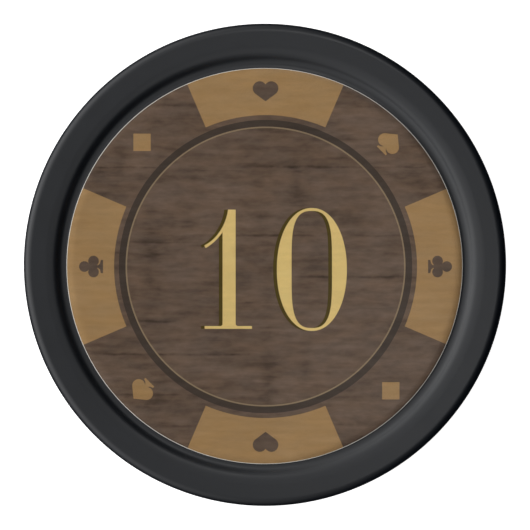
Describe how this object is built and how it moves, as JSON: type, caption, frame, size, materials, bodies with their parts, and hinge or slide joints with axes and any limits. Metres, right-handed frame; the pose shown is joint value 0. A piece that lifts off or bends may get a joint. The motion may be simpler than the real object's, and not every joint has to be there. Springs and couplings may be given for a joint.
{
  "type": "poker chip",
  "caption": "Round poker chip with raised black rims, a steel slug inside and a printed wood-and-gold denomination label in a recess on each face.",
  "frame": {"origin": "centre of the underside, in the plane of the rear rim that the chip lies on", "axes": "+Z through the chip's thickness, from the rear face to the front face; +Y towards the top of the printed design; +X to its right"},
  "size_m": [0.039, 0.039, 0.0033],
  "materials": {
    "black_composite": "satin moulded clay composite",
    "slug_steel": "stamped, lightly oiled",
    "label_adhesive": "dried clear acrylic adhesive",
    "label_vinyl": "white vinyl, seen only at its cut edge",
    "label_laminate": "clear satin film",
    "wood_print": "printed dark wood grain under laminate",
    "gold_print": "printed dull gold under laminate",
    "numeral_print": "printed light gold under laminate",
    "shade_print": "printed dark brown under laminate"
  },
  "bodies": {
    "root": {"chip_body": "black_composite", "steel_slug": "slug_steel", "front_label_adhesive": "label_adhesive", "front_label_face_stock": "label_vinyl", "front_label_laminate": "label_laminate", "rear_label_adhesive": "label_adhesive", "rear_label_face_stock": "label_vinyl", "rear_label_laminate": "label_laminate"}
  },
  "joints": []
}
